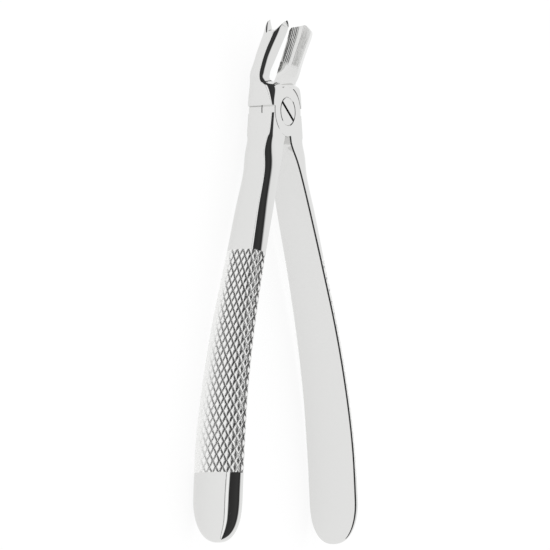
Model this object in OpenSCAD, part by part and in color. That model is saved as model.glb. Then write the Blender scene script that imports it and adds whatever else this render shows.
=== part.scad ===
// Extraction forceps for upper molars, English pattern, with a screwed lap joint.
// Millimetres. The origin is on the pivot axis, in the plane where the two laps meet.
// +Z points to the screw head, +X along the handles to their tails, -X to the beaks.
// The rear half has its handle on -Y, and the front half has its handle on +Y.

/* [Overall] */
// Length from the pivot to the end of the handles
handle_len = 144.5; // [120:0.5:174]
// Length from the pivot to the beak tips
beak_len = 30; // [25:0.5:36]
// Angle between the halves in the position shown, counted from closed handles
rest_opening = 19; // [8:1:30]

/* [Lap joint] */
// Radius of each round lap
lap_r = 8.2; // [6.8:0.1:9.9]
// Thickness of the joint through both laps
joint_t = 10; // [8.2:0.2:12]
// Running gap between the two lap faces
lap_gap = 0.04; // [0.02:0.01:0.1]
// Radial clearance round each lap in its seat
seat_gap = 0.15; // [0.1:0.05:0.3]
// Width of the solid metal beside each lap seat
cheek = 1.2; // [0.8:0.1:2]
// Angle from the cross line to the foot of the beak, where the opening stops
beak_foot_angle = 19; // [17:1:24]
// Angle from the cross line to the shoulder of the shank, the other stop
shank_foot_angle = 15.5; // [14:0.5:20]

/* [Joint screw] */
// Radius of the screw where it turns in the front lap and threads into the rear lap
screw_r = 2.75; // [2.2:0.05:3.4]
// Radius of the screw head
head_r = 4.6; // [3.8:0.1:5.6]
// Height of the screw head, sunk flush in the front lap
head_t = 2.2; // [1.6:0.1:2.8]
// Radial running clearance of the screw in the front lap
screw_fit = 0.04; // [0.02:0.01:0.09]
// Width of the driving slot
slot_w = 1; // [0.8:0.1:1.4]
// Depth of the driving slot
slot_d = 0.9; // [0.6:0.1:1.3]
// Direction of the driving slot from +X
slot_angle = 51; // [0:1:180]

/* [Handles] */
// Distance from the centre line to a closed handle's inner face where it bows out most
handle_bow = 15.9; // [13:0.1:20]
// The same distance at the tail of the handle
tail_in = 12.7; // [10:0.1:16]
// Half width of the handle at its widest place, near the tail
grip_half_w = 8.9; // [7.4:0.1:10.7]
// Half width of the shank where it leaves the joint blend
shank_half_w = 6; // [5.4:0.1:7.2]
// Thickness of the shank from its inner face to its crown
shank_t = 6.1; // [5.6:0.1:7.4]
// Thickness of the grip from its inner face to its crown
grip_t = 5; // [4.7:0.1:6]
// Bevel along both edges of the inner face
edge_bevel = 0.8; // [0.5:0.1:1.2]
// Length over which the tail rounds off
tail_round = 14.5; // [10:0.5:20]

/* [Beaks] */
// Distance from the centre line to a closed beak's inner edge at the neck
neck_in = 5.4; // [4.6:0.1:6.4]
// The same distance at the tips, half of the closed gap between them
tip_in = 2.3; // [1.5:0.1:3]
// Thickness of a beak from its inner edges to its back
beak_t = 4.6; // [3.9:0.1:5.5]
// Half width of a beak at its neck
neck_half_w = 3.5; // [2.9:0.1:4.2]
// Half width of a beak at its tip
tip_half_w = 4.2; // [3.5:0.1:5]
// Depth of the gouge along the inside of a beak
gouge_d = 1; // [0.6:0.1:1.3]
// Height of the tips above the lap plane, from the bend of the beaks
tip_rise = 6.1; // [4.5:0.1:7.4]
// Turn of the tips' outline from square to the closed handles
tip_tilt = -6; // [-10:1:10]
// Depth of the fork between the two prongs of the front half's beak
fork_d = 4.2; // [3.4:0.1:5]
// Half width of the mouth of the fork
fork_half_w = 3.2; // [2.6:0.1:3.8]

/* [Hidden] */
half_open = rest_opening / 2;
half_t = joint_t / 2;
block_y = lap_r + cheek;
steps = 6;
tail_end = 0.985;
tail_power = 2.3;
round_steps = 5;
through = 1;
crown_share = 0.97;
beak_draft = 0.4;
neck_lift = 1;
steel = [0.86, 0.87, 0.88];
$fn = 96;

// Smooth curve through rows of numbers: the value between rows b and c at t from 0 to 1
function between(a, b, c, d, t) =
    b + 0.5 * t * (c - a + t * (2 * a - 5 * b + 4 * c - d + t * (3 * (b - c) + d - a)));
function smooth_rows(rows, n) = [
    for (i = [0 : len(rows) - 2], k = [0 : n - 1])
        between(rows[max(i - 1, 0)], rows[i], rows[i + 1], rows[min(i + 2, len(rows) - 1)], k / n),
    rows[len(rows) - 1]
];

// Middle of a ring of points
function middle(ring) = [for (c = [0 : 2]) let(v = [for (p = ring) p[c]])
    v * [for (p = ring) 1] / len(ring)];

// Closed skin over rings that all have the same number of points, with a fan at each end
module skin(rings) {
    n = len(rings[0]);
    m = len(rings);
    sides = [
        for (i = [0 : m - 2], j = [0 : n - 1]) let(k = (j + 1) % n)
            each [[i * n + j, i * n + k, (i + 1) * n + j],
                [i * n + k, (i + 1) * n + k, (i + 1) * n + j]]
    ];
    ends = [
        for (j = [0 : n - 1]) let(k = (j + 1) % n)
            each [[k, j, m * n], [(m - 1) * n + j, (m - 1) * n + k, m * n + 1]]
    ];
    points = [for (ring = rings) each ring];
    polyhedron(concat(points, [middle(rings[0]), middle(rings[m - 1])]), concat(sides, ends));
}

// ---- Handle and shank -------------------------------------------------------------

// Rows of x, distance of the inner face, half width, side height, crown height, crown run.
// The crown run is how far the rounding reaches in from each side of the section.
handle_rows = [
    [-0.5, 0.2, half_t, block_y - 1.8, 0.8, 1.2],
    [lap_r + 0.6, 0.2, half_t, block_y - 2.2, 1.2, 1.9],
    [lap_r + 3.8, 0.9, half_t, block_y - 3.8, 2.4, 2.5],
    [17, 2.3, shank_half_w - 0.35, shank_t - 2.7, 4, 3.4],
    [24, 4.1, shank_half_w, shank_t - 5, 4.2, 3.2],
    [36, 6.6, shank_half_w + 0.5, shank_t - 5.2, 4.2, 3.8],
    [52, 9.9, shank_half_w + 1, grip_t - 4.5, 3.8, 4.8],
    [handle_len * 0.51, handle_bow - 2.2, grip_half_w - 1.1, grip_t - 4.5, 3.6, grip_half_w - 2],
    [handle_len * 0.65, handle_bow - 0.2, grip_half_w - 0.5, grip_t - 4.5, 3.6, grip_half_w - 0.9],
    [handle_len * 0.78, handle_bow, grip_half_w, grip_t - 4.5, 3.7, grip_half_w - 0.4],
    [handle_len - tail_round, tail_in + 2, grip_half_w, grip_t - 4.5, 4.1, grip_half_w - 0.4],
    [handle_len - 0.4 * tail_round, tail_in + 0.8, grip_half_w, grip_t - 4.5, 4, grip_half_w - 0.4],
    [handle_len - 0.1 * tail_round, tail_in + 0.2, grip_half_w, grip_t - 4.5, 4, grip_half_w - 0.4],
    [handle_len, tail_in, grip_half_w, grip_t - 4.5, 4, grip_half_w - 0.4]
];

// Section of the handle as [outward, across] points: flat inside, bevels, sides and crown
function handle_section(w, side, crown, run, shrink) = let(
    ws = w * shrink,
    bevel = edge_bevel * shrink,
    up = bevel + side * shrink,
    high = crown * (0.45 + 0.55 * shrink),
    in = min(run * shrink, ws * crown_share),
    arc = [for (k = [0 : round_steps]) [up + high * sin(90 * k / round_steps),
        ws - in * (1 - cos(90 * k / round_steps))]]
) concat(
    [[0, -(ws - bevel)], [0, ws - bevel], [bevel, ws]],
    arc,
    [for (k = [round_steps : -1 : 0]) [arc[k][0], -arc[k][1]]],
    [[bevel, -ws]]
);

handle_line = smooth_rows(handle_rows, steps);

// Width of the tail as it rounds off, 1 before the rounding and 0 at its very end
function tail_width(x) = let(u = max(0, (x - (handle_len - tail_round)) / tail_round))
    pow(1 - pow(min(u, tail_end), tail_power), 1 / tail_power);

// One ring of the handle at row i, square to the inner face's line
function handle_ring(i) = let(
    row = handle_line[i],
    ahead = handle_line[min(i + 1, len(handle_line) - 1)],
    behind = handle_line[max(i - 1, 0)],
    dir = atan2(ahead[1] - behind[1], ahead[0] - behind[0]),
    pts = handle_section(row[2], row[3], row[4], row[5], tail_width(row[0]))
) [for (p = pts) [row[0] - sin(dir) * p[0], row[1] + cos(dir) * p[0], p[1]]];

// The bar from the joint to the tail, for the half whose handle is on +Y, closed position
module handle_bar() {
    skin([for (i = [0 : len(handle_line) - 1]) handle_ring(i)]);
}

// ---- Beak -------------------------------------------------------------------------

// Place along X at a share of the way from the neck to the tips
neck_x = lap_r + 5.2;
function along(share) = -neck_x - share * (beak_len - neck_x);

// Rows of x, inner edge, centre height, half width, side height, crown height, crown run,
// slope of the sides and gouge depth. The lift raises the neck's upper side.
function beak_rows(lift) = [
    [-beak_len - 2, tip_in - 0.5, tip_rise * 1.1, tip_half_w, beak_t - 1.9, 1.5, 1.2, beak_draft,
        gouge_d * 1.15],
    [-beak_len, tip_in, tip_rise, tip_half_w, beak_t - 1.8, 1.5, 1.2, beak_draft, gouge_d * 1.15],
    [along(0.77), tip_in + 0.8, tip_rise * 0.82, tip_half_w, beak_t - 1.6, 1.6, 1.3, beak_draft,
        gouge_d],
    [along(0.46), tip_in + 2, tip_rise * 0.45, tip_half_w - 0.2, beak_t - 1.6, 1.6, 1.3,
        beak_draft, gouge_d],
    [along(0.22), neck_in - 0.5, tip_rise * 0.16 + lift / 4, neck_half_w + 0.2 + lift / 4,
        beak_t - 1.9, 1.6, 1.3, beak_draft * 0.9, gouge_d * 0.9],
    [along(0), neck_in, -0.6 + lift / 2, neck_half_w - 0.1 + lift / 2, beak_t - 2.5, 1.7, 1.6,
        beak_draft * 0.6, gouge_d * 0.4],
    [-lap_r - 2.6, neck_in - 1.2, -1.2 + lift / 2, neck_half_w - 0.3 + lift / 2, beak_t - 2.3,
        1.9, 2, 0.05, 0],
    [-lap_r - 0.6, 2.6, 0, half_t, block_y - 6.2, 2.8, half_t - 1, 0, 0],
    [-lap_r / 2, 2, 0, half_t, block_y - 3.5, 1, 1.9, 0, 0],
    [-0.5, 2, 0, half_t, block_y - 2.9, 0.5, 0.8, 0, 0]
];

// Section of the beak as [outward, across] points: hollow inside, sloping sides and a back
// that starts along each side and ends flat
function beak_section(w, side, crown, run, slope, hollow) = let(
    flat = w - slope * (side + crown) - run,
    back = [for (k = [0 : round_steps]) let(a = 90 * k / round_steps)
        [side + crown * sin(a), flat + slope * crown * (1 - sin(a)) + run * cos(a)]]
) concat(
    [for (k = [-3 : 3]) [hollow * (1 - pow(k / 3, 2)), w * k / 3]],
    back,
    [for (k = [round_steps : -1 : 0]) [back[k][0], -back[k][1]]]
);

// The rings of the beak, in planes square to X
function beak_rings(lift) = [
    for (row = smooth_rows(beak_rows(lift), steps - 2))
        [for (p = beak_section(row[3], row[4], row[5], row[6], row[7], row[8]))
            [row[0], row[1] + p[0], row[2] + p[1]]]
];

// The beak and its foot beside the joint, on +Y, closed position
module beak_bar(lift) {
    skin(beak_rings(lift));
}

clear_x = -5;
clear_y = 3 * tip_half_w;

// Cuts a flat outline, drawn from the tip backwards, square through the beak at its tip
module at_tip() {
    translate([-beak_len, 0, tip_rise])
        rotate([-90, 0, 0])
            rotate([0, 0, -tip_tilt])
                translate([0, 0, -2 * lap_r])
                    linear_extrude(4 * lap_r) children();
}

// Everything past the two prongs that straddle the fork of the roots
module fork_cut() {
    at_tip()
        polygon([[clear_x, -clear_y], [clear_x, clear_y], [1.6, clear_y],
            [1.6, fork_half_w + 1.5], [0, fork_half_w + 0.7], [0, fork_half_w + 0.4],
            [fork_d - 0.5, 0.7], [fork_d, 0.3], [fork_d, -0.3], [fork_d - 0.5, -0.7],
            [0, -fork_half_w - 0.4], [0, -fork_half_w - 0.7], [1.6, -fork_half_w - 1.5],
            [1.6, -clear_y]]);
}

// Everything past the single point
module point_cut() {
    at_tip()
        polygon([[clear_x, -clear_y], [clear_x, clear_y], [2, clear_y],
            [2, tip_half_w + 0.3], [0.8, tip_half_w - 0.4], [0.1, 0.5], [0.1, -0.9],
            [2.2, 0.4 - tip_half_w], [3.2, -tip_half_w - 0.3], [3.2, -clear_y]]);
}

// ---- Halves -----------------------------------------------------------------------

// Seat that the other half's lap turns in, under z = 0 or over it
module lap_seat(up) {
    deep = half_t + through + 2;
    translate([0, 0, up ? -lap_gap / 2 : -deep + lap_gap / 2])
        cylinder(h = deep, r = lap_r + seat_gap);
}

// Round lap, under z = 0 or over it
module lap(up) {
    thick = half_t - lap_gap / 2;
    translate([0, 0, up ? lap_gap / 2 : -half_t])
        cylinder(h = thick, r = lap_r);
}

// Shank on +Y with its shoulder cut along a line from the pivot, open to the other lap
module shank(up) {
    difference() {
        handle_bar();
        rotate([0, 0, 90 - shank_foot_angle])
            translate([-joint_t, 0, -joint_t])
                cube([5 * lap_r, 2 * lap_r, 2 * joint_t]);
        lap_seat(up);
    }
}

// Beak on +Y with its foot cut along a line from the pivot, open to the other lap
module beak(up) {
    difference() {
        beak_bar(up ? neck_lift : 0);
        rotate([0, 0, 90 + beak_foot_angle])
            translate([-joint_t, -2 * lap_r, -joint_t])
                cube([5 * lap_r, 2 * lap_r, 2 * joint_t]);
        lap_seat(up);
    }
}

module rear_half() {
    color(steel)
        rotate([0, 0, -half_open])
            difference() {
                union() {
                    lap(false);
                    mirror([0, 1, 0]) shank(true);
                    difference() {
                        beak(true);
                        point_cut();
                    }
                }
                translate([0, 0, -half_t - through]) cylinder(h = joint_t, r = screw_r);
            }
}

module front_half() {
    color(steel)
        rotate([0, 0, half_open])
            difference() {
                union() {
                    lap(true);
                    shank(false);
                    difference() {
                        mirror([0, 1, 0]) beak(false);
                        fork_cut();
                    }
                }
                translate([0, 0, -through]) cylinder(h = joint_t, r = screw_r + screw_fit);
                translate([0, 0, half_t - head_t - lap_gap])
                    cylinder(h = head_t + through, r = head_r + screw_fit);
            }
}

module joint_screw() {
    color(steel)
        rotate([0, 0, slot_angle])
            difference() {
                union() {
                    translate([0, 0, -half_t]) cylinder(h = joint_t - head_t + through, r = screw_r);
                    translate([0, 0, half_t - head_t]) cylinder(h = head_t, r = head_r);
                }
                translate([-2 * head_r, -slot_w / 2, half_t - slot_d])
                    cube([4 * head_r, slot_w, slot_d + through]);
            }
}

rear_half();
front_half();
joint_screw();
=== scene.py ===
import math

import bpy
import numpy as np
from mathutils import Matrix, Vector


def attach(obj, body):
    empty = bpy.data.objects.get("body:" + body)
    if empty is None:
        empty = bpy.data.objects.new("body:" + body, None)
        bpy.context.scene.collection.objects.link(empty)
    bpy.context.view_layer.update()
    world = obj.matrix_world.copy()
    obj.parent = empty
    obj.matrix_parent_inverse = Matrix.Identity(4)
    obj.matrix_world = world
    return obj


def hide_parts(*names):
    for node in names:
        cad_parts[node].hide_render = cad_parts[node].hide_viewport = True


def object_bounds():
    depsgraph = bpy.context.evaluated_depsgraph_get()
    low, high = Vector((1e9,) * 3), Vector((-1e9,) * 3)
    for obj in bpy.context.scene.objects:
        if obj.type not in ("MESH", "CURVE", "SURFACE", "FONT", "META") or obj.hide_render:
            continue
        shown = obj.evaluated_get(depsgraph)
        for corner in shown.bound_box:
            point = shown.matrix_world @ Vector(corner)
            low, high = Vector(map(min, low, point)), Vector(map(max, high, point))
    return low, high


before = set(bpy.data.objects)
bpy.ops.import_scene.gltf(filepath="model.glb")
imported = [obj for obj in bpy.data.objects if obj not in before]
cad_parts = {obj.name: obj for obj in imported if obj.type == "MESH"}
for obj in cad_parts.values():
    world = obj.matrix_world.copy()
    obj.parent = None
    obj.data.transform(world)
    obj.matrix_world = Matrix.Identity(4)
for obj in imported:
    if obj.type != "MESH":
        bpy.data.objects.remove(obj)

cad_low, cad_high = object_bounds()

# ---- Camera ---------------------------------------------------------------------------
# A long lens looks down on the open forceps from beside the rear half's handle, a little
# towards the tails. The picture's top is the beaks' direction, -X.

MM = 0.001
CAMERA_AWAY = 1800 * MM
CAMERA_AZIMUTH = 3.9
CAMERA_ELEVATION = 30.56
CAMERA_ROLL = -0.295
SENSOR = 36
FIELD_AT_OBJECT = 178.9 * MM
AIM_SHIFT = Vector((-2.2 * MM, -0.4 * MM))

aim = Vector(((cad_low.x + cad_high.x) / 2 + AIM_SHIFT.x, AIM_SHIFT.y, 0))
turn, rise = math.radians(CAMERA_AZIMUTH), math.radians(CAMERA_ELEVATION)
back = Vector((math.sin(turn) * math.cos(rise), -math.cos(turn) * math.cos(rise), math.sin(rise)))
up = Vector((-1, 0, 0))
up = (up - back * up.dot(back)).normalized()
up = Matrix.Rotation(math.radians(CAMERA_ROLL), 3, back) @ up
right = up.cross(back)

camera = bpy.data.objects.new("camera", bpy.data.cameras.new("camera"))
camera.data.sensor_width = SENSOR
camera.data.lens = SENSOR * CAMERA_AWAY / FIELD_AT_OBJECT
camera.data.clip_start = 0.1
camera.data.clip_end = 100
camera.rotation_mode = "QUATERNION"
camera.rotation_quaternion = Matrix((right, up, back)).transposed().to_quaternion()
camera.location = aim + back * CAMERA_AWAY
bpy.context.scene.collection.objects.link(camera)
bpy.context.scene.camera = camera


# ---- Studio ---------------------------------------------------------------------------
# The forceps lie on an opal light table in a white tent. The tent is open to the dark
# room on the camera's side, over a low white card, and at the end that the beaks point to.

TABLE_HALF = 15.0
TABLE_WHITE = "#F6F6F6"
TABLE_GLOW = 1.04
TABLE_MATTE_SHARE = 0.2
TENT_WHITE = "#FFFFFF"
# Angle round X from the camera-side horizon, over the top, to the far horizon, in
# degrees, and the brightness that the steel sees there
TENT_BANDS = [
    (0, 0.12), (1.2, 0.2), (2.6, 1.1), (11, 1.15), (14, 0.035), (60, 0.05), (88, 0.03),
    (97, 0.6), (104, 0.98), (180, 1.0),
]
# The tent's dark open end fills the directions whose X is below the second value
END_FROM, END_TO = -0.7, -0.76
END_DARK = 0.05


def linear(hex_colour, strength=1.0):
    """sRGB hex digits turned to linear light, each times the strength, with alpha 1."""
    parts = [int(hex_colour[i:i + 2], 16) / 255 for i in (1, 3, 5)]
    light = [p / 12.92 if p <= 0.04045 else ((p + 0.055) / 1.055) ** 2.4 for p in parts]
    return [strength * v for v in light] + [1.0]


def add(tree, kind, inputs=(), **settings):
    """Adds a node, sets its settings, and sets or links each input by its name or place."""
    node = tree.nodes.new(kind)
    for name, value in settings.items():
        setattr(node, name, value)
    for socket, value in dict(inputs).items():
        if isinstance(value, bpy.types.NodeSocket):
            tree.links.new(value, node.inputs[socket])
        else:
            node.inputs[socket].default_value = value
    return node


world = bpy.data.worlds.new("studio")
world.use_nodes = True
world.cycles.sampling_method = "NONE"
sky = world.node_tree
sky.nodes.clear()
place = add(sky, "ShaderNodeTexCoord")
axes = add(sky, "ShaderNodeSeparateXYZ", {0: place.outputs["Generated"]})
camera_side = add(sky, "ShaderNodeMath", {0: axes.outputs["Y"], 1: -1.0}, operation="MULTIPLY")
angle = add(sky, "ShaderNodeMath", {0: axes.outputs["Z"], 1: camera_side.outputs[0]},
            operation="ARCTAN2")
share = add(sky, "ShaderNodeMath", {0: angle.outputs[0], 1: math.pi}, operation="DIVIDE",
            use_clamp=True)
bands = add(sky, "ShaderNodeValToRGB", {0: share.outputs[0]})
stops = bands.color_ramp.elements
while len(stops) < len(TENT_BANDS):
    stops.new(1.0)
for stop, (degrees, level) in zip(stops, TENT_BANDS):
    stop.position = degrees / 180
    stop.color = (level, level, level, 1)
past_end = add(sky, "ShaderNodeMapRange", {"Value": axes.outputs["X"], "From Min": END_FROM,
                                           "From Max": END_TO})
room = add(sky, "ShaderNodeMix", {0: past_end.outputs[0], 6: bands.outputs[0],
                                  7: linear(TENT_WHITE, END_DARK)}, data_type="RGBA")
seen = add(sky, "ShaderNodeBackground", {"Color": room.outputs[2], "Strength": 1.0})
even = add(sky, "ShaderNodeBackground", {"Color": linear(TENT_WHITE), "Strength": 1.0})
rays = add(sky, "ShaderNodeLightPath")
tent = add(sky, "ShaderNodeMixShader", {0: rays.outputs["Is Glossy Ray"], 1: even.outputs[0],
                                        2: seen.outputs[0]})
add(sky, "ShaderNodeOutputWorld", {"Surface": tent.outputs[0]})
bpy.context.scene.world = world
bpy.context.scene.view_settings.view_transform = "Standard"

sheet = bpy.data.meshes.new("light_table")
corners = ((-1, -1), (1, -1), (1, 1), (-1, 1))
sheet.from_pydata([(x * TABLE_HALF, y * TABLE_HALF, cad_low.z) for x, y in corners], [],
                  [(0, 1, 2, 3)])
opal = bpy.data.materials.new("opal_acrylic")
opal.use_nodes = True
tree = opal.node_tree
tree.nodes.clear()
glow = add(tree, "ShaderNodeEmission", {"Color": linear(TENT_WHITE), "Strength": TABLE_GLOW})
matte = add(tree, "ShaderNodeBsdfDiffuse", {"Color": linear(TABLE_WHITE)})
lit = add(tree, "ShaderNodeMixShader", {0: TABLE_MATTE_SHARE, 1: glow.outputs[0],
                                        2: matte.outputs[0]})
add(tree, "ShaderNodeOutputMaterial", {"Surface": lit.outputs[0]})
sheet.materials.append(opal)
table = bpy.data.objects.new("light_table", sheet)
bpy.context.scene.collection.objects.link(table)


# ---- Steel ----------------------------------------------------------------------------
# All three pieces are martensitic stainless steel, ground, then polished on mops. The
# knurl, the serrations and the screw's slot keep the surface that their cutter left.

STEEL_COLOUR = "#E0E0DF"
# The knurl is painted lighter than the polished steel, a painted fill light that makes up for the
# light that its grooves swallow
KNURL_PAINTED_LIGHT_COLOUR = "#F4F4F3"
# The slot is painted dark grey: painted shade in the recess
SLOT_PAINTED_SHADE_COLOUR = "#5C5C5A"
# The sizes of the polish's soft patches and of the fine lines on polished and cut faces
POLISH_CLOUD_MM = 9
POLISH_LINES_MM = 0.12
CUTTER_LINES_MM = 0.08
LINE_SQUEEZE = 0.04
LINE_DEPTH_MM = 0.01


def steel(name, colour, roughness, line_strength, lines_mm):
    """Bare steel: its roughness varies by three tenths with soft noise, and fine lines along
    X, which are noise squeezed along that axis, bump it."""
    material = bpy.data.materials.new(name)
    material.use_nodes = True
    tree = material.node_tree
    tree.nodes.clear()
    place = add(tree, "ShaderNodeTexCoord")
    cloudy = add(tree, "ShaderNodeTexNoise", {"Vector": place.outputs["Object"],
                                              "Scale": 1 / (POLISH_CLOUD_MM * MM),
                                              "Detail": 3.0})
    polish = add(tree, "ShaderNodeMapRange", {"Value": cloudy.outputs[0],
                                              "To Min": roughness * 0.7,
                                              "To Max": roughness * 1.3})
    stretched = add(tree, "ShaderNodeMapping", {"Vector": place.outputs["Object"],
                                                "Scale": (LINE_SQUEEZE, 1, 1)})
    lines = add(tree, "ShaderNodeTexNoise", {"Vector": stretched.outputs[0],
                                             "Scale": 1 / (lines_mm * MM), "Detail": 2.0})
    grain = add(tree, "ShaderNodeBump", {"Height": lines.outputs[0], "Strength": line_strength,
                                         "Distance": LINE_DEPTH_MM * MM})
    surface = add(tree, "ShaderNodeBsdfPrincipled", {
        "Base Color": linear(colour), "Metallic": 1.0, "Roughness": polish.outputs[0],
        "Normal": grain.outputs[0]})
    add(tree, "ShaderNodeOutputMaterial", {"Surface": surface.outputs[0]})
    return material


SURFACES = [
    # Ground and mopped to a mirror: it shows the tent as crisp bands
    steel("mirror_polished_steel", STEEL_COLOUR, 0.05, 0.1, POLISH_LINES_MM),
    # The knurl as its cutter left it: satin walls and lands, with soft dark grooves, and a colour
    # painted lighter to stand in for light
    steel("as_cut_knurled_steel_painted_lighter", KNURL_PAINTED_LIGHT_COLOUR, 0.36, 0.1, POLISH_LINES_MM),
    # The screw's slot, slit with a saw cutter: dull, and painted dark grey as painted shade in
    # the recess
    steel("as_milled_screw_slot_painted_shade", SLOT_PAINTED_SHADE_COLOUR, 0.35, 0.2, CUTTER_LINES_MM),
    # The serrations, cut like a file's teeth: grey from a little way off
    steel("as_filed_serrated_steel", STEEL_COLOUR, 0.3, 0.2, CUTTER_LINES_MM),
]
POLISHED, AS_CUT, AS_MILLED, AS_FILED = range(4)


# ---- Handles --------------------------------------------------------------------------
# Each half is one drop forging in stainless steel. Its handle is a bowed bar, flat inside
# and crowned outside, with bevelled edges, and the grip is knurled on the outside only.

LAP_R = 8.2
CHEEK = 1.2
HALF_T = 5.0
BLOCK_Y = LAP_R + CHEEK
HANDLE_LEN = 144.5
HANDLE_BOW = 15.9
TAIL_IN = 12.7
GRIP_W = 8.9
SHANK_W = 6.0
SHANK_T = 6.1
GRIP_T = 5.0
EDGE_BEVEL = 0.4
TAIL_ROUND = 14.5
TAIL_POWER = 2.3
KNURL_FROM, KNURL_TO = 49.8, 122.3
KNURL_LONG = 3.95
KNURL_ACROSS = 9
KNURL_CUTS = 10
KNURL_DEPTH = 0.36
KNURL_LAND = 0.5
KNURL_EDGE = 0.1
KNURL_CLEAR = 0.3
RING_STEP = 0.5
TAIL_RINGS = 90
CROWN_POINTS = 60
FLAT_POINTS = 9
# The rings lean with the bar's bow, from none inside the lap to all of it along the shank
LEAN_FROM = LAP_R - 2
LEAN_OVER = 16

# Rows of x, inner face, half width, side height, crown height and crown run, in mm
handle_rows = np.array([
    [-0.5, 0.2, HALF_T, BLOCK_Y - 1.8, 0.8, 1.2],
    [LAP_R + 0.6, 0.2, HALF_T, BLOCK_Y - 2.2, 1.2, 1.9],
    [LAP_R + 3.8, 0.9, HALF_T, BLOCK_Y - 3.8, 2.4, 2.5],
    [17, 2.3, SHANK_W - 0.35, SHANK_T - 2.7, 4, 3.4],
    [24, 4.1, SHANK_W, SHANK_T - 5, 4.2, 3.2],
    [36, 6.6, SHANK_W + 0.5, SHANK_T - 5.2, 4.2, 3.8],
    [52, 9.9, SHANK_W + 1, GRIP_T - 4.5, 3.8, 4.8],
    [HANDLE_LEN * 0.51, HANDLE_BOW - 2.2, GRIP_W - 1.1, GRIP_T - 4.5, 3.6, GRIP_W - 2],
    [HANDLE_LEN * 0.65, HANDLE_BOW - 0.2, GRIP_W - 0.5, GRIP_T - 4.5, 3.6, GRIP_W - 0.9],
    [HANDLE_LEN * 0.78, HANDLE_BOW, GRIP_W, GRIP_T - 4.5, 3.7, GRIP_W - 0.4],
    [HANDLE_LEN - TAIL_ROUND, TAIL_IN + 2, GRIP_W, GRIP_T - 4.5, 4.1, GRIP_W - 0.4],
    [HANDLE_LEN - 0.4 * TAIL_ROUND, TAIL_IN + 0.8, GRIP_W, GRIP_T - 4.5, 4, GRIP_W - 0.4],
    [HANDLE_LEN - 0.1 * TAIL_ROUND, TAIL_IN + 0.2, GRIP_W, GRIP_T - 4.5, 4, GRIP_W - 0.4],
    [HANDLE_LEN, TAIL_IN, GRIP_W, GRIP_T - 4.5, 4, GRIP_W - 0.4],
])


def smooth_rows(rows, xs):
    """Catmull-Rom curve through the rows, read at the given x: each value is the cubic
    between its two rows whose slopes are half the step between the rows on either side."""
    before = rows[[0, *range(len(rows) - 2)]]
    after = rows[[*range(2, len(rows)), -1]]
    a, b, c, d = (v[:, None, :] for v in (before, rows[:-1], rows[1:], after))
    t = np.linspace(0, 1, 200, endpoint=False)[None, :, None]
    curve = b + t / 2 * (c - a + t * (2 * a - 5 * b + 4 * c - d + t * (3 * (b - c) + d - a)))
    curve = np.vstack([curve.reshape(-1, rows.shape[1]), rows[-1]])
    order = np.argsort(curve[:, 0], kind="stable")
    columns = [np.interp(xs, curve[order, 0], curve[order, k]) for k in range(rows.shape[1])]
    return np.stack(columns, axis=1)


def even_steps(points, count):
    """Points at equal distances along each open line of points: the running length of
    the line, divided evenly."""
    steps = np.linalg.norm(np.diff(points, axis=1), axis=2)
    run = np.concatenate([np.zeros((len(points), 1)), np.cumsum(steps, axis=1)], axis=1)
    marks = run[:, -1:] * np.linspace(0, 1, count + 1)
    return np.stack([
        np.stack([np.interp(m, r, p[:, k]) for m, r, p in zip(marks, run, points)])
        for k in (0, 1)
    ], axis=2)


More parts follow.
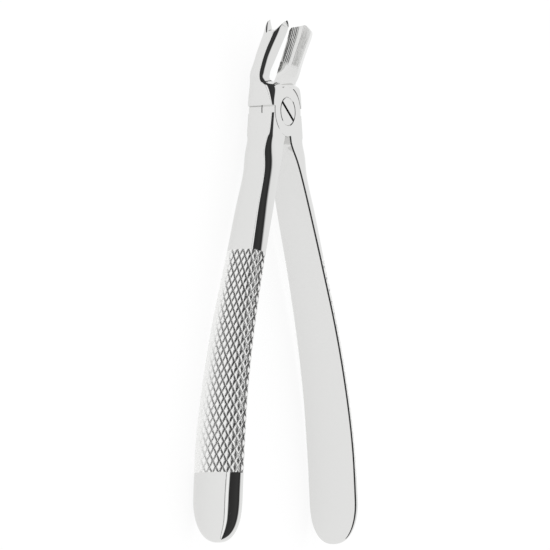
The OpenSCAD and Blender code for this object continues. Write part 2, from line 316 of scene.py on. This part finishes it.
def handle_rings():
    """Rings of points round the bar. Across it, each is a flat inside, a bevel, a side,
    two quarter ellipses with a flat between them, a side and a bevel. The bar narrows at
    its tail as a superellipse. In the grip, two sets of crossing V cuts lower the outside,
    by the depth times one less the smaller of two triangle waves, which stop at flat lands.
    Also gives where the grid of points is split along its other diagonal, and each point's
    finish."""
    pitch = KNURL_LONG / KNURL_CUTS
    knurl_x = np.arange(KNURL_FROM, KNURL_TO + pitch / 2, pitch)
    start = np.arange(handle_rows[0, 0], KNURL_FROM - KNURL_CLEAR, RING_STEP)
    quarter = np.linspace(0, math.pi / 2, TAIL_RINGS)
    tail = HANDLE_LEN - (HANDLE_LEN - KNURL_TO) * np.cos(quarter) ** 1.7
    xs = np.concatenate([start, [KNURL_FROM - KNURL_EDGE], knurl_x, [knurl_x[-1] + KNURL_EDGE],
                         tail[tail > knurl_x[-1] + KNURL_CLEAR]])
    first, last = len(start) + 1, len(start) + len(knurl_x)
    row = smooth_rows(handle_rows, xs)
    x, inner, half_w, side, crown, run = row.T[:, :, None]
    u = np.clip((x - HANDLE_LEN + TAIL_ROUND) / TAIL_ROUND, 0, 0.9995)
    shrink = (1 - u ** TAIL_POWER) ** (1 / TAIL_POWER)
    w, bevel = half_w * shrink, EDGE_BEVEL * shrink
    foot = bevel + side * shrink
    high = crown * (0.45 + 0.55 * shrink)
    reach = np.minimum(run * shrink, w * 0.999)
    q = np.linspace(0, math.pi / 2, CROWN_POINTS)[None]
    near = np.stack([foot + high * np.sin(q), w - reach * (1 - np.cos(q))], axis=2)
    outside = np.concatenate([np.stack([bevel + 0 * w, w], axis=2), near], axis=1)
    outside = np.concatenate([outside, outside[:, ::-1] * [1, -1]], axis=1)
    outside = even_steps(outside, KNURL_ACROSS * KNURL_CUTS)
    along = np.gradient(outside, axis=1)
    length = np.maximum(np.linalg.norm(along, axis=2, keepdims=True), 1e-9)
    normal = np.stack([-along[:, :, 1], along[:, :, 0]], axis=2) / length
    i = np.arange(len(xs))[:, None] - first
    j = np.arange(outside.shape[1])[None]
    waves = [1 - abs(2 * np.mod(v / KNURL_CUTS, 1) - 1) for v in (i + j, i - j)]
    grip = (i >= 0) & (i <= last - first)
    edge = np.minimum(j, j[:, ::-1])
    depth = KNURL_DEPTH * (1 - np.minimum(np.minimum(*waves) / KNURL_LAND, 1)) * grip
    outside = outside - normal * (depth * np.clip(edge / 3, 0, 1))[:, :, None]
    inside_edge = np.concatenate([0 * w, w - bevel], axis=1)[:, None]
    flat = np.linspace(-1, 1, FLAT_POINTS)[None, :, None] * inside_edge
    ring = np.concatenate([flat, outside], axis=1)
    lean = np.arctan2(np.gradient(row[:, 1]), np.gradient(row[:, 0]))[:, None]
    lean = lean * np.clip((x - LEAN_FROM) / LEAN_OVER, 0, 1)
    out, across = ring[:, :, 0], ring[:, :, 1]
    rings = np.stack([x - np.sin(lean) * out, inner + np.cos(lean) * out, across], axis=2)
    crossed = np.zeros(out.shape, dtype=bool)
    crossed[:, FLAT_POINTS:] = grip & (np.mod(i - j, KNURL_CUTS) == 0)
    surface = np.where(grip & (np.arange(out.shape[1]) >= FLAT_POINTS), AS_CUT, POLISHED)
    return rings, crossed, surface


def skin(name, rings, crossed=False, surface=POLISHED):
    """A closed mesh over a grid of rings: two triangles between each four neighbours, split
    along one diagonal or, where crossed, the other, and a zigzag strip over each end. The
    surface is one finish, or one for each point of the grid. In mm."""
    count, around = rings.shape[:2]
    i, j = np.meshgrid(np.arange(count - 1), np.arange(around), indexing="ij")
    k = (j + 1) % around
    a, b, c, d = i * around + j, i * around + k, (i + 1) * around + k, (i + 1) * around + j
    other = np.broadcast_to(crossed, rings.shape[:2])[:-1, :, None]
    one = np.where(other, np.stack([a, c, b], axis=2), np.stack([a, d, b], axis=2))
    two = np.where(other, np.stack([a, d, c], axis=2), np.stack([b, d, c], axis=2))
    m = np.arange(around)
    zigzag = np.where(m % 2 == 0, m // 2, around - 1 - m // 2)
    strip = np.stack([zigzag[:-2], zigzag[1:-1], zigzag[2:]], axis=1)
    strip[1::2] = strip[1::2, ::-1]
    start, end = strip[:, ::-1], strip + (count - 1) * around
    points = rings.reshape(-1, 3) * MM
    faces = np.vstack([np.stack([one, two], axis=2).reshape(-1, 3), start, end])
    mesh = bpy.data.meshes.new(name)
    mesh.from_pydata(points.tolist(), [], faces.tolist())
    for finish in SURFACES:
        mesh.materials.append(finish)
    between = np.broadcast_to(surface, rings.shape[:2])[:-1]
    ends = np.full(2 * len(strip), between.min())
    marks = np.concatenate([np.repeat(between.ravel(), 2), ends])
    mesh.polygons.foreach_set("material_index", marks.astype(np.int32))
    piece = bpy.data.objects.new(name, mesh)
    bpy.context.scene.collection.objects.link(piece)
    return piece


# ---- Beaks ----------------------------------------------------------------------------
# The beaks are the forging's other ends, bent up out of the handles' plane, crowned
# outside and hollow ground inside. The pointed one is serrated along its inner face.

BEAK_LEN = 30.0
NECK_IN = 5.4
TIP_IN = 2.3
BEAK_T = 4.6
NECK_W = 3.5
TIP_W = 4.2
GOUGE = 1.0
TIP_RISE = 6.1
TIP_TILT = -6
FORK_DEEP = 5.0
FORK_W = 3.2
BEAK_DRAFT = 0.4
# The tip's outline bends the lines behind it, less and less over this length
TIP_FADE = 14
EDGE_ROUND = 1.6
EDGE_THIN = 0.16
APEX_AT = 0.2
SERRATION_PITCH = 0.55
SERRATION_DEPTH = 0.12
SERRATED_LEN = 13.2
SERRATED_SLANT = 1.4
# The two bands of serrations, as shares of the half width
LOW_BAND = (-0.9, -0.24)
HIGH_BAND = (-0.02, 0.94)
HOLLOW_POINTS = 81
SIDE_POINTS = 41
neck_x = LAP_R + 5.2
near_tip, mid_beak, bend = (-neck_x - s * (BEAK_LEN - neck_x) for s in (0.77, 0.46, 0.22))

# Rows of x, inner edge, centre height, half width, side and crown heights, crown run,
# slope of the sides, and gouge
beak_rows = np.array([
    [-BEAK_LEN - 2, TIP_IN - 0.5, TIP_RISE * 1.1, TIP_W, BEAK_T - 1.9, 1.5, 1.2, BEAK_DRAFT,
     GOUGE * 1.15],
    [-BEAK_LEN, TIP_IN, TIP_RISE, TIP_W, BEAK_T - 1.8, 1.5, 1.2, BEAK_DRAFT, GOUGE * 1.15],
    [near_tip, TIP_IN + 0.8, TIP_RISE * 0.82, TIP_W, BEAK_T - 1.6, 1.6, 1.3, BEAK_DRAFT, GOUGE],
    [mid_beak, TIP_IN + 2, TIP_RISE * 0.45, TIP_W - 0.2, BEAK_T - 1.6, 1.6, 1.3, BEAK_DRAFT,
     GOUGE],
    [bend, NECK_IN - 0.5, TIP_RISE * 0.16, NECK_W + 0.2, BEAK_T - 1.9, 1.6, 1.3,
     BEAK_DRAFT * 0.9, GOUGE * 0.9],
    [-neck_x, NECK_IN, -0.6, NECK_W - 0.1, BEAK_T - 2.5, 1.7, 1.6, BEAK_DRAFT * 0.6,
     GOUGE * 0.4],
    [-LAP_R - 2.6, NECK_IN - 1.2, -1.2, NECK_W - 0.3, BEAK_T - 2.3, 1.9, 2.0, 0.05, 0],
    [-LAP_R - 0.6, 2.6, 0, HALF_T, BLOCK_Y - 6.2, 2.8, 4.0, 0, 0],
    [-LAP_R / 2, 2, 0, HALF_T, BLOCK_Y - 3.5, 1.0, 1.9, 0, 0],
    [-0.5, 2, 0, HALF_T, BLOCK_Y - 2.9, 0.5, 0.8, 0, 0],
])


def beak_rings(serrated, tip_line, lift):
    """Rings of points round the beak: a parabola hollow inside, sides that lean in by their
    slope, and a back between them, a quarter ellipse sheared to start along each side. Each
    line of points starts as far back as the tip line says at its height, and the thickness
    there grows from an edge as a quarter circle. Where serrated, triangle waves across the
    hollow are two bands of long V cuts. The lift raises the neck's upper side."""
    rows = beak_rows.copy()
    rows[4:7, 2] += lift * np.array([0.25, 0.5, 0.5])
    rows[4:7, 3] += lift * np.array([0.25, 0.5, 0.5])
    foot = BEAK_LEN - LAP_R
    step = np.concatenate([np.linspace(0, 1, 14) ** 1.5 * EDGE_ROUND, np.arange(1.8, foot, 0.25),
                           np.arange(foot + 0.4, BEAK_LEN - 0.4, 0.6)])[:, None]
    t = np.linspace(-1, 1, HOLLOW_POINTS)[None]
    q = np.linspace(0, math.pi / 2, SIDE_POINTS)[None]
    inside = slice(0, HOLLOW_POINTS)
    upper = slice(HOLLOW_POINTS, HOLLOW_POINTS + SIDE_POINTS)
    lower = slice(HOLLOW_POINTS + SIDE_POINTS, HOLLOW_POINTS + 2 * SIDE_POINTS)

    def section(x):
        """Each point's inner edge, centre height, half width, hollow, and its place outwards
        and across, from the rows read at its own x."""
        shape = smooth_rows(rows, x.ravel()).reshape(*x.shape, -1)
        inner, height, w, side, crown, run, slope, hollow = np.moveaxis(shape[..., 1:], -1, 0)
        out, across = np.empty(w.shape), np.empty(w.shape)
        out[:, inside] = hollow[:, inside] * (1 - t ** 2)
        across[:, inside] = t * w[:, inside]
        for part, angle, sign in ((upper, q, 1), (lower, q[:, ::-1], -1)):
            half_w, wall, rise, reach, lean = (v[:, part] for v in (w, side, crown, run, slope))
            flat = half_w - lean * (wall + rise) - reach
            out[:, part] = wall + rise * np.sin(angle)
            across[:, part] = sign * (flat + lean * rise * (1 - np.sin(angle))
                                      + reach * np.cos(angle))
        return inner, height, w, hollow, out, across

    x = np.repeat(step - BEAK_LEN, lower.stop, axis=1)
    *_, w, _, _, across = section(x)
    x = x + tip_line(across / w) * np.clip(1 - step / TIP_FADE, 0, 1) ** 2
    inner, height, w, hollow, out, across = section(x)
    floor = hollow * (1 - np.clip(across / w, -1, 1) ** 2)
    thick = EDGE_THIN + (1 - EDGE_THIN) * np.sqrt(1 - (1 - np.clip(step / EDGE_ROUND, 0, 1)) ** 2)
    back = slice(upper.start, lower.stop)
    out[:, back] = floor[:, back] + (out[:, back] - floor[:, back]) * thick
    surface = np.full(out.shape, POLISHED)
    if serrated:
        bands = [np.clip(8 * np.minimum(t - low, high - t), 0, 1)
                 for low, high in (LOW_BAND, HIGH_BAND)]
        ends = np.clip((SERRATED_LEN + SERRATED_SLANT * t - step) / 0.8, 0, 1)
        cuts = 1 - abs(2 * np.mod(t * w[:, inside] / SERRATION_PITCH, 1) - 1)
        cut_part = np.maximum(*bands) * ends
        out[:, inside] += SERRATION_DEPTH * cuts * cut_part
        surface[:, inside] = np.where(cut_part > 0, AS_FILED, POLISHED)
    return np.stack([x, inner + out, height + across], axis=2), surface


def tilt_line(t):
    """How far back the tilt sets an edge: the height times the tilt's tangent."""
    return math.tan(math.radians(-TIP_TILT)) * t * TIP_W


def shoulder_line(t, depth, start, power):
    """How far back a tip's corners are rounded: the depth times a power of how far the
    height has gone from the start to the side."""
    return depth * np.clip((abs(t) - start) / (1 - start), 0, 1) ** power


def fork_line(t):
    """How far back the fork's edge lies: a rounded V between two prongs, then shoulders."""
    notch = FORK_DEEP * (1 - np.sqrt((t * TIP_W / FORK_W) ** 2 + 0.01))
    return np.clip(notch, 0, None) + shoulder_line(t, 1.8, 0.8, 1.5) + tilt_line(t)


def point_line(t):
    """How far back the point's edge lies: two slopes from an apex, rounded together."""
    from_apex = t - APEX_AT
    slopes = np.where(from_apex > 0, 2.9, 1.2) * np.sqrt(from_apex ** 2 + 0.01)
    return slopes + shoulder_line(t, 0.9, 0.82, 2) + tilt_line(t)


def prism(name, outline, low, high, place=Matrix(), surface=POLISHED):
    """A straight bar with the flat outline's shape from z low to high, then placed."""
    points = np.array(outline, dtype=float)
    area = np.cross(points, np.roll(points, -1, axis=0)).sum()
    points = points[::-1] if area > 0 else points
    rings = np.stack([np.c_[points, np.full(len(points), z)] for z in (low, high)])
    piece = skin(name, rings, surface=surface)
    piece.data.transform(Matrix.Translation(place.translation * MM) @ place.to_3x3().to_4x4())
    return piece


def turned_solid(name, profile, steps=192):
    """A solid of revolution round Z: each point of radius and height swept in a circle."""
    radius, height = np.array(profile, dtype=float).T[:, :, None]
    a = np.linspace(0, -2 * math.pi, steps, endpoint=False)[None]
    return skin(name, np.stack([radius * np.cos(a), radius * np.sin(a), height + 0 * a], axis=2))


def joined(piece, other, how):
    """Unites the piece with the other solid, or cuts it by that, and removes the other."""
    step = piece.modifiers.new(how, "BOOLEAN")
    step.operation, step.object, step.solver = how, other, "MANIFOLD"
    result = bpy.data.meshes.new_from_object(
        piece.evaluated_get(bpy.context.evaluated_depsgraph_get()))
    piece.modifiers.clear()
    result.name = piece.name
    piece.data = result
    bpy.data.objects.remove(other)
    return piece


# ---- Rear half ------------------------------------------------------------------------
# One forging, ground, knurled and polished. Its lap is the lower one, tapped for the
# screw, its handle lies on the camera's side, and its pointed beak on the other side.

HALF_OPEN = 9.5
SEAT_GAP = 0.15
LAP_GAP = 0.04
BEAK_FOOT_ANGLE = 19
SHANK_FOOT_ANGLE = 15.5
SCREW_R = 2.75
HEAD_R = 4.6
HEAD_T = 2.2
SCREW_FIT = 0.04
LAP_BEVEL = 0.15
SHARP_ANGLE = 28
# How far a cutter stands past the face it cuts
PAST = 1
CUT_BACK = 10
CUT_OUT = 5 * LAP_R


def side_of_cut(name, angle, left):
    """A thick half plane on one side of the line from the pivot at the angle from +X."""
    side = -CUT_OUT if left else CUT_OUT
    outline = [(-CUT_BACK, 0), (CUT_OUT, 0), (CUT_OUT, side), (-CUT_BACK, side)]
    return prism(name, outline, -CUT_BACK, CUT_BACK, Matrix.Rotation(math.radians(angle), 4, "Z"))


def half(name, up):
    """The lap, the shank and the beak as one solid, in the closed position. Shank and beak
    are made on +Y and cut back along their feet and round the other half's lap, and then the
    one that belongs on -Y is mirrored. Up means that this half's lap is the upper one."""
    rings, crossed, surface = handle_rings()
    shank = skin(name, rings, crossed, surface)
    joined(shank, side_of_cut("shoulder", 90 - SHANK_FOOT_ANGLE, False), "DIFFERENCE")
    rings, surface = beak_rings(not up, fork_line if up else point_line, 0 if up else 1)
    beak = skin("beak", rings, surface=surface)
    joined(beak, side_of_cut("foot", 90 + BEAK_FOOT_ANGLE, True), "DIFFERENCE")
    seat_r, deep = LAP_R + SEAT_GAP, HALF_T + 3 * PAST
    low, high = (-deep, LAP_GAP / 2) if up else (-LAP_GAP / 2, deep)
    for solid, mirrored in ((shank, not up), (beak, up)):
        joined(solid, turned_solid("seat", [(seat_r, low), (seat_r, high)]), "DIFFERENCE")
        if mirrored:
            solid.data.transform(Matrix.Scale(-1, 4, (0, 1, 0)))
            solid.data.flip_normals()
    low, high = (LAP_GAP / 2, HALF_T) if up else (-HALF_T, -LAP_GAP / 2)
    joined(shank, turned_solid("lap", [
        (LAP_R - LAP_BEVEL, low), (LAP_R, low + LAP_BEVEL), (LAP_R, high - LAP_BEVEL),
        (LAP_R - LAP_BEVEL, high)]), "UNION")
    return joined(shank, beak, "UNION")


def shaded(piece):
    """Smooth shading that breaks at edges sharper than the limit."""
    piece.data.shade_smooth()
    piece.data.set_sharp_from_angle(angle=math.radians(SHARP_ANGLE))


def finished(piece, angle, body):
    """Opens the half by the angle round the pivot, shades it, and gives it its body."""
    piece.data.transform(Matrix.Rotation(math.radians(angle), 4, "Z"))
    shaded(piece)
    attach(piece, body)


rear = half("rear_half_forging", False)
joined(rear, turned_solid("thread", [(SCREW_R, -HALF_T - PAST), (SCREW_R, HALF_T)]), "DIFFERENCE")
finished(rear, -HALF_OPEN, "rear")
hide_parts("rear_half")


# ---- Front half -----------------------------------------------------------------------
# The same forging and finish. Its lap is the upper one, bored and counterbored for the
# screw, its handle lies away from the camera, and its beak ends in two prongs.

RECESS_BEVEL = 0.18

front = half("front_half_forging", True)
bore, recess = SCREW_R + SCREW_FIT, HEAD_R + SCREW_FIT
floor_z = HALF_T - HEAD_T - LAP_GAP
joined(front, turned_solid("bore", [
    (bore, -PAST), (bore, floor_z), (recess, floor_z), (recess, HALF_T - RECESS_BEVEL),
    (recess + RECESS_BEVEL + PAST, HALF_T + PAST)]), "DIFFERENCE")
finished(front, HALF_OPEN, "front")
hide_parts("front_half")


# ---- Joint screw ----------------------------------------------------------------------
# A turned steel screw with a flat slotted head, sunk flush in the front lap. It threads
# into the rear lap and turns with that half.

SLOT_W = 1.0
SLOT_DEEP = 0.9
SLOT_ANGLE = 51
HEAD_BEVEL = 0.2

screw = turned_solid("slotted_joint_screw", [
    (SCREW_R, -HALF_T), (SCREW_R, HALF_T - HEAD_T), (HEAD_R, HALF_T - HEAD_T),
    (HEAD_R, HALF_T - HEAD_BEVEL), (HEAD_R - HEAD_BEVEL, HALF_T)])
slot_end, slot_side = 2 * HEAD_R, SLOT_W / 2
slot_outline = [(-slot_end, -slot_side), (slot_end, -slot_side), (slot_end, slot_side),
                (-slot_end, slot_side)]
joined(screw, prism("slot", slot_outline, HALF_T - SLOT_DEEP, HALF_T + PAST,
                    Matrix.Rotation(math.radians(SLOT_ANGLE), 4, "Z"), AS_MILLED), "DIFFERENCE")
shaded(screw)
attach(screw, "rear")
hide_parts("joint_screw")
